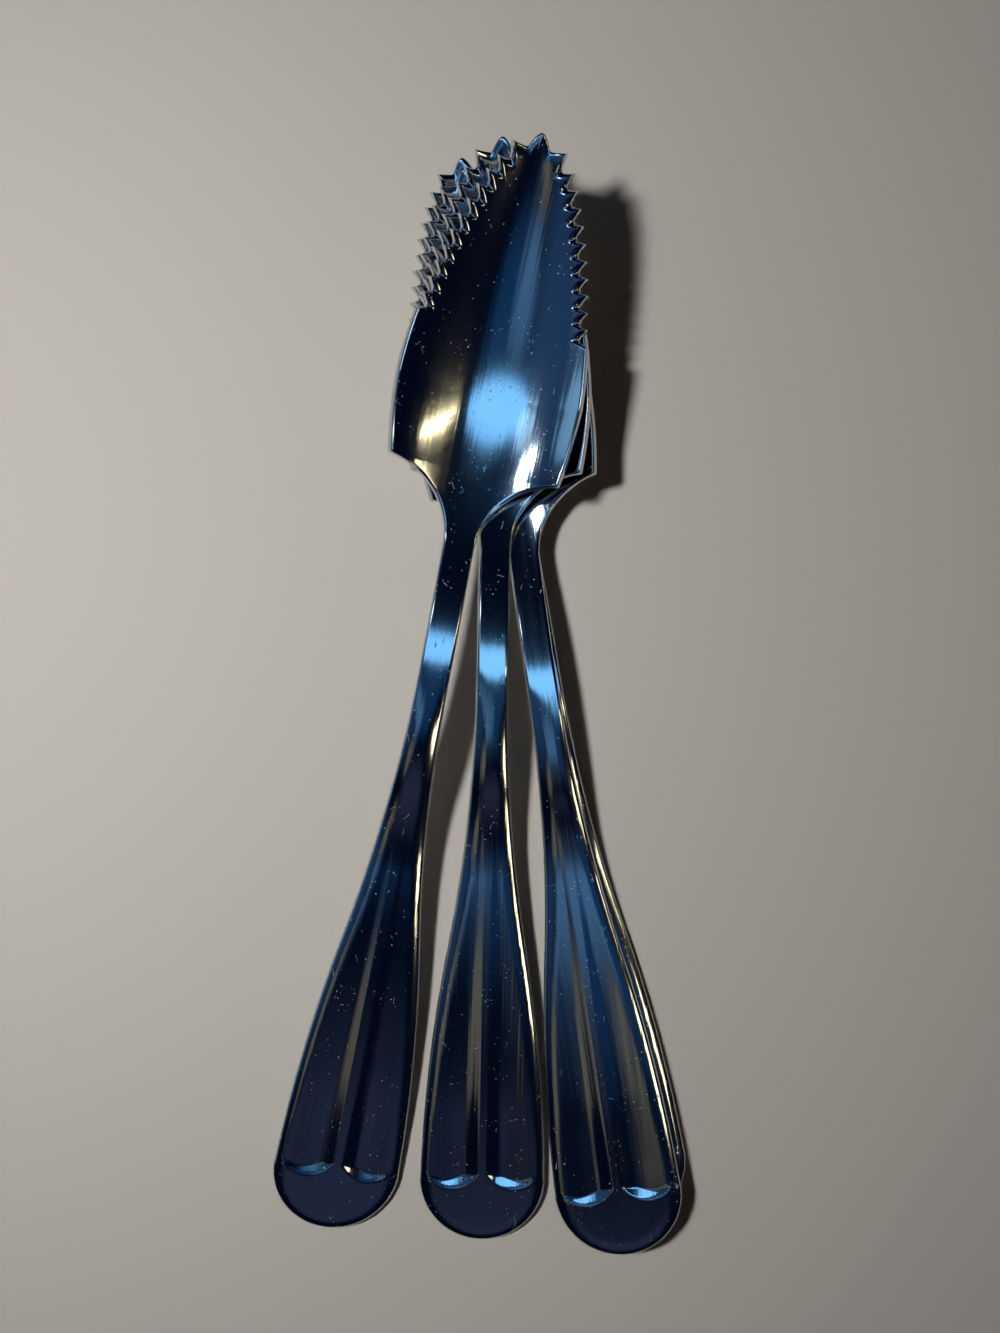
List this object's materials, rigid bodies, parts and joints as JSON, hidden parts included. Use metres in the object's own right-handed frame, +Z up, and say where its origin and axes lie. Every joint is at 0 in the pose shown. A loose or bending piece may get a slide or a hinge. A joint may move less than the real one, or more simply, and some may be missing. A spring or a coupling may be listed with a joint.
{
  "type": "grapefruit spoon set",
  "caption": "Nested fan of stamped stainless-steel grapefruit spoons with shallow leaf-shaped bowls, serrated front edges and flat handles with two flutes ending in crescents.",
  "frame": {"origin": "on the table, under the middle of the box around the whole nest", "axes": "+Y towards the bowl tips, +Z up from the table, +X to the right with the tips pointing away"},
  "size_m": [0.0624, 0.1616, 0.0217],
  "materials": {
    "steel": "polished stainless steel, worn by use"
  },
  "bodies": {
    "bottom_spoon": {"bottom_spoon": "steel"},
    "third_spoon": {"third_spoon": "steel"},
    "second_spoon": {"second_spoon": "steel"},
    "top_spoon": {"top_spoon": "steel"}
  },
  "joints": [
    {"name": "third_lift", "type": "slide", "parent": "bottom_spoon", "child": "third_spoon", "axis": [0, 0, 1], "range_m": [0, 0.04]},
    {"name": "second_lift", "type": "slide", "parent": "third_spoon", "child": "second_spoon", "axis": [0, 0, 1], "range_m": [0, 0.04]},
    {"name": "top_lift", "type": "slide", "parent": "second_spoon", "child": "top_spoon", "axis": [0, 0, 1], "range_m": [0, 0.04]}
  ]
}
